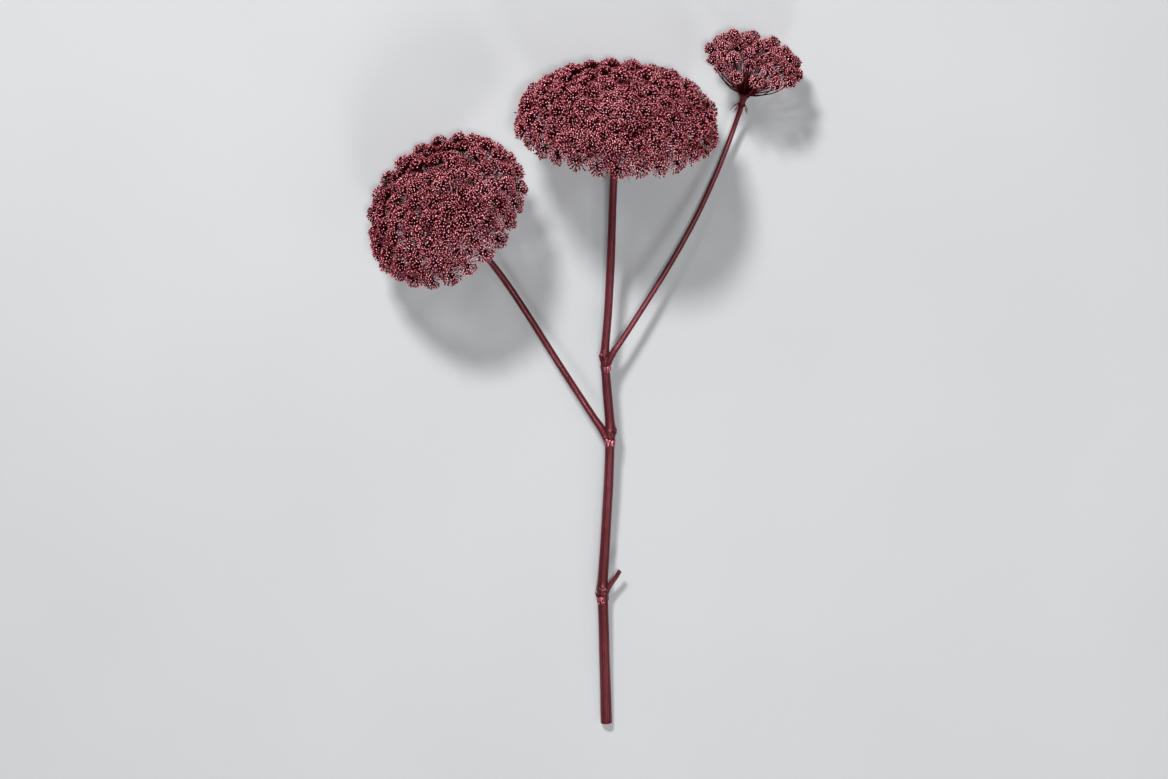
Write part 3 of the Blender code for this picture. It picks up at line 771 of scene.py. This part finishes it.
def young_rays(rays):
    """The later, shorter umbellets that fill the spaces between the large ones, each with its own ray."""
    extra = []
    for k, u in enumerate(UMBELS):
        rng = np.random.RandomState(u["seed"] + 400)
        side, up, out = axes_of(u)
        origin = np.array(u["origin"])
        mine = [r for r in rays if r["umbel"] == k]
        heads = np.array([r["head"] for r in mine])
        n = 9000
        t = np.arccos(rng.uniform(math.cos(math.radians(97)), 1, n))
        phi = rng.uniform(0, TAU, n)
        h = u["z0"] + u["H"] * np.cos(t)
        around = np.cos(phi)[:, None] * side + np.sin(phi)[:, None] * up
        P = origin + (u["R"] * np.sin(t))[:, None] * around + h[:, None] * out
        P = P - unit(P - (origin + 0.45 * u["z0"] * out)) * rng.uniform(-0.3, 6.5, n)[:, None]
        P[:, 2] = np.maximum(P[:, 2], u["low"] + 1.5)
        near = np.linalg.norm(P[:, None] - heads[None], axis=2).min(1)
        lively = rng.uniform(0.86, 1.0, n)
        for _ in range(MORE[u["name"]]):
            i = int(np.argmax(near * lively))
            host = int(np.argmin(np.linalg.norm(heads - P[i], axis=1)))
            near = np.minimum(near, np.linalg.norm(P - P[i], axis=1))
            R0, z1, dome = u["disc"]
            f = float(np.interp(math.degrees(t[i]), u["t"][::-1], u["foot"][::-1])) * rng.uniform(0.93, 1.03)
            zf = z1 + dome * math.sqrt(max(0.0, 1 - (f / R0) ** 2))
            head, across = P[i], around[i]
            v = unit(head - origin)
            w = unit(head - (origin + 0.45 * u["z0"] * out))
            axis = unit(0.55 * v + 0.45 * out) if u["ball"] else unit(0.5 * v + 0.5 * w)
            press = max(0.0, 1 - (head[2] - 8.0) / 9.0)
            axis = unit(axis + np.array([0, 0, 0.55]) * press * max(0.0, -axis[2]))
            extra.append(dict(umbel=k, ring=mine[host]["ring"], foot=origin + f * across + (zf + 0.6) * out, head=head,
                              axis=axis, neck=head - axis * u["neck"], down=-v, host=mine[host]["head"], small=True))
    return extra


def add_umbellet(batch, r, u, rng):
    """Stalked fruits over a cap round the head's axis, thread-like bracts below it, and the ray."""
    neck, axis = r["neck"], r["axis"]
    ball = u["ball"]
    small = r.get("small", False)
    grown = (0.78 if small else 1.0) - 0.02 * r["ring"] + rng.uniform(-0.07, 0.05)
    e1 = unit(np.cross(axis, [0.3, 0.2, 1.0]))
    e2 = np.cross(axis, e1)
    tone0 = rng.uniform(-0.09, 0.09) - 0.03 * small

    # fruits
    m = int((84 if ball else 74) * grown**1.3 * rng.uniform(0.94, 1.06))
    most = math.radians(118 if ball else rng.uniform(74, 88))
    i = np.arange(m) + 0.5
    cos_t = 1 - i / m * (1 - math.cos(most))
    theta = np.arccos(cos_t) + rng.normal(0, 0.045, m)
    phi = i * 2.399963 + rng.uniform(0, TAU) + rng.normal(0, 0.10, m)
    d = (np.cos(theta)[:, None] * axis
         + np.sin(theta)[:, None] * (np.cos(phi)[:, None] * e1 + np.sin(phi)[:, None] * e2))
    if ball:
        middle = neck + axis * 7.4 * grown
        tip = middle + d * (5.6 * grown + rng.normal(0, 0.40, m))[:, None]
        fruit_way = unit(d * 0.75 + axis * 0.45 + rng.normal(0, 0.14, (m, 3)))
        size = rng.uniform(0.80, 1.0, m)
        fruit_len, girth = 2.4 * size, 0.84 * size
    else:
        lengths = (8.3 + 0.8 * (theta / most) ** 2) * grown * (1 + rng.normal(0, 0.075, m))
        lengths *= np.where(rng.uniform(0, 1, m) < 0.03, 1.10, 1.0)
        tip = neck + axis * 0.8 + d * lengths[:, None]
        fruit_way = unit(d + 0.18 * axis + rng.normal(0, 0.17, (m, 3)))
        size = rng.uniform(0.82, 1.12, m)
        fruit_len, girth = 2.9 * size, 0.82 * size
    keep = rng.uniform(0, 1, m) > 0.04
    tip, fruit_way, fruit_len, girth, d = tip[keep], fruit_way[keep], fruit_len[keep], girth[keep], d[keep]
    m = len(tip)
    end_z = tip[:, 2] + fruit_way[:, 2] * fruit_len
    lowest = 0.9 + 0.9 * rng.uniform(0, 1, m)
    under = np.minimum(tip[:, 2], end_z) < lowest
    raise_by = np.clip(lowest - tip[:, 2], 0, None)
    tip[:, 2] += raise_by
    flat = fruit_way.copy()
    flat[:, 2] = np.maximum(flat[:, 2], -0.12)
    fruit_way = np.where(under[:, None], unit(flat + 0.02), fruit_way)
    base = neck + axis * rng.uniform(0.1, 0.9, (m, 1)) + unit(d - (d @ axis)[:, None] * axis) * 0.45
    span = np.linalg.norm(tip - base, axis=1)
    rise = unit(0.55 * axis + 0.75 * d)
    bowed = rng.uniform(0, 1, m) < 0.16
    for some, ts in ((bowed, np.array([0.0, 0.5, 1.03])), (~bowed, np.array([0.0, 1.03]))):
        mid = (base + rise * (span * 0.55)[:, None])[some]
        mid[:, 2] = np.maximum(mid[:, 2], 0.7)
        if len(ts) == 2:
            mid = (base[some] + tip[some]) / 2
        P = (base[some][:, None] * ((1 - ts) ** 2)[None, :, None] + 2 * mid[:, None] * (ts * (1 - ts))[None, :, None]
             + tip[some][:, None] * (ts**2)[None, :, None])
        R = np.interp(ts, [0, 0.5, 1.03], [0.30, 0.25, 0.34])[None, :] * rng.uniform(0.85, 1.15, (len(mid), 1))
        V, Q, T = tubes(P, R, 3, caps=(False, False))
        # Stalks darkest at their base, deep in the umbellet, and lighter outward: painted shade.
        tone = np.tile(np.repeat(np.interp(ts, [0, 0.5, 1.03], [0.02, 0.12, 0.26]), 3), len(mid)) + tone0
        batch.add(V, Q, T, tone=tone, mat=1)

    stalk = tip - fruit_way * 0.1
    V, Q, T = clubs(stalk, fruit_way, fruit_len, girth)
    own = rng.normal(0, 0.085, m)
    # Fruits painted dark at the stalk, a painted shade, and brightest at the point, a painted highlight.
    tone = np.array([0.08] * 5 + [0.58, 0.48, 0.61, 0.55, 0.47] + [1.22])[None, :] + own[:, None] + tone0
    batch.add(V, Q, T, tone=tone.ravel())

    # the short dry styles left on some of the fruits
    top = stalk + fruit_way * (fruit_len * 0.97)[:, None]
    across = unit(np.cross(fruit_way, rng.normal(0, 1, (m, 3))))
    styled = rng.uniform(0, 1, m) < 0.30
    top, across, way, m = top[styled], across[styled], fruit_way[styled], int(styled.sum())
    for sign in (1, -1):
        tipp = top + unit(way * 0.8 + sign * across * 0.8) * rng.uniform(0.6, 1.25, (m, 1))
        b1 = unit(np.cross(tipp - top, across + way * 0.3)) * 0.16
        b2 = unit(np.cross(tipp - top, b1)) * 0.16
        V = np.stack([top + b1, top - 0.5 * b1 + 0.87 * b2, top - 0.5 * b1 - 0.87 * b2, tipp], 1).reshape(-1, 3)
        f = (np.arange(m) * 4)[:, None, None] + np.array([[0, 1, 3], [1, 2, 3], [2, 0, 3]])[None]
        batch.add(V, None, f.reshape(-1, 3), tone=0.82 + tone0)

    # thread-like bracts
    n = int(rng.randint(5, 7)) - 2 * small
    a = TAU * (np.arange(n) + rng.uniform(0, 1)) / n + rng.normal(0, 0.18, n)
    side = np.cos(a)[:, None] * e1 + np.sin(a)[:, None] * e2
    if ball:
        start = neck + side * 0.7
        way = unit(side + axis * 0.1)
        (V, Q, T), _ = threads(rng, start, way, unit(axis + 0.35 * side), rng.uniform(8.5, 13.0, n), np.full(n, 0.25), 3, 4)
    else:
        start = neck + side * 0.6
        way = unit(side + axis * rng.uniform(-0.35, 0.35, (n, 1)))
        bend = unit(side - axis * rng.uniform(-0.5, 0.7, (n, 1)))
        (V, Q, T), _ = threads(rng, start, way, bend, rng.uniform(7.0, 12.0, n), np.full(n, 0.24), 3, 4)
    batch.add(V, Q, T, tone=0.38 + tone0)

    # the ray, from inside the disc to a small knob under the fruits
    ts = np.linspace(0, 1, 9)
    line = ray_line(r, ts)
    line = np.concatenate([[line[0] + r["down"] * 1.5], line, [neck + axis * 0.55], [neck + axis * 1.15]])
    girth = np.interp(ts, [0, 0.08, 0.3, 0.85, 1.0], [1.05, 0.80, 0.66, 0.58, 0.80])
    girth = np.concatenate([[1.25], girth, [1.0], [0.45]]) * (0.9 if ball else 1.0) * (0.84 if small else 1.0)
    one = 6
    lobes = 1 + 0.06 * np.cos(3 * TAU * np.arange(one) / one)
    V, Q, T = tubes(line[None], (girth[:, None] * lobes[None, :])[None], one)
    # Rays darkest at the disc, deep inside the umbel, and lighter towards the umbellet: painted shade.
    tone = np.repeat(np.interp(np.arange(len(line)), [0, 4, len(line) - 1], [0.10, 0.30, 0.48]), one) + tone0
    along = np.concatenate([[0], np.cumsum(np.linalg.norm(np.diff(line, axis=0), axis=1))])
    ang = TAU * np.arange(one) / one
    grain = np.stack([np.tile(np.cos(ang) * 1.2, len(line)), np.tile(np.sin(ang) * 1.2, len(line)),
                      np.repeat(along * 0.06, one) + r["foot"][0]], -1)
    batch.add(V, Q, T, tone=tone, grain=grain, mat=1)


rays = layout()
young = young_rays(rays)
total = 0
for k, u in enumerate(UMBELS):
    rng = np.random.RandomState(u["seed"] + 900)
    names = RING_NAMES[u["name"]]
    for ring, sizes in enumerate(u["groups"]):
        mine = [r for r in rays if r["umbel"] == k and (r["ring"] == ring or (len(names) <= ring + 1 and r["ring"] > ring))]
        start = 0
        for g, n in enumerate(sizes):
            number = "" if len(sizes) == 1 else "_%d" % (g + 1)
            name = f"{u['name']}_{names[ring]}_umbellets{number}"
            batch = Batch()
            for r in mine[start:start + n]:
                add_umbellet(batch, r, u, rng)
                for y in young:
                    if y["umbel"] == k and y["host"] is r["head"]:
                        add_umbellet(batch, y, u, rng)
            start += n
            obj = build(name + "_look", batch, [fruit_paint, ray_paint])
            total += sum(len(p.vertices) - 2 for p in obj.data.polygons)
            place(obj, name)
total += sum(len(p.vertices) - 2 for o in bpy.data.objects if o.name.endswith("_look") and "umbellets" not in o.name for p in o.data.polygons)
print("triangles", total)

# ---------------------------------------------------------------- floor, light and camera
bpy.ops.mesh.primitive_grid_add(x_subdivisions=4, y_subdivisions=4, size=8.0, location=(0, 0, 0))
floor = bpy.context.object
floor.name = "floor"
fm = bpy.data.materials.new("floor_paper")
fm.use_nodes = True
nodes, links = fm.node_tree.nodes, fm.node_tree.links
bsdf = nodes["Principled BSDF"]
bsdf.inputs["Roughness"].default_value = 0.9
bsdf.inputs["Specular IOR Level"].default_value = 0.2
place_ = nodes.new("ShaderNodeTexCoord").outputs["Object"]
grey = ramp(nodes, [(0.3, (0.332, 0.335, 0.342)), (0.7, (0.348, 0.351, 0.358))])
links.new(noise(nodes, links, place_, 2.5, 2.0), grey.inputs["Fac"])
links.new(grey.outputs["Color"], bsdf.inputs["Base Color"])
floor.data.materials.append(fm)

world = bpy.data.worlds.new("studio")
world.use_nodes = True
world.node_tree.nodes["Background"].inputs["Color"].default_value = (0.92, 0.95, 1.0, 1)
world.node_tree.nodes["Background"].inputs["Strength"].default_value = 0.16
bpy.context.scene.world = world


def area(name, place_at, target, size, power, colour=(1, 1, 1)):
    light = bpy.data.lights.new(name, "AREA")
    light.shape = "RECTANGLE"
    light.size, light.size_y = size
    light.energy = power
    light.color = colour
    obj = bpy.data.objects.new(name, light)
    obj.location = place_at
    obj.rotation_mode = "QUATERNION"
    obj.rotation_quaternion = (Vector(target) - Vector(place_at)).to_track_quat("-Z", "Y")
    bpy.context.scene.collection.objects.link(obj)


area("key", (-1.0, 2.5, 2.9), (0, 0.1, 0), (0.7, 0.5), 215)
area("rear", (0.5, -2.5, 1.9), (0, 0.1, 0), (0.8, 0.6), 42)
area("front", (0.25, 0.1, 3.6), (0, 0, 0), (0.45, 0.45), 70)
area("fill", (1.7, -0.6, 1.9), (0, 0, 0), (1.2, 1.2), 8)

cam_data = bpy.data.cameras.new("camera")
cam_data.lens = 90
cam_data.sensor_width = 36
cam = bpy.data.objects.new("camera", cam_data)
bpy.context.scene.collection.objects.link(cam)
tilt = math.radians(-7)
back = Vector((0, -math.sin(tilt), math.cos(tilt)))
upward = Vector((0, math.cos(tilt), math.sin(tilt)))
target = Vector((0.0, -0.004, 0.05))
cam.matrix_world = Matrix.Translation(target + back * 2.96) @ Matrix((Vector((1, 0, 0)), upward, back)).transposed().to_4x4()
cam_data.clip_start, cam_data.clip_end = 0.1, 50
bpy.context.scene.camera = cam
bpy.context.scene.view_settings.view_transform = "Standard"
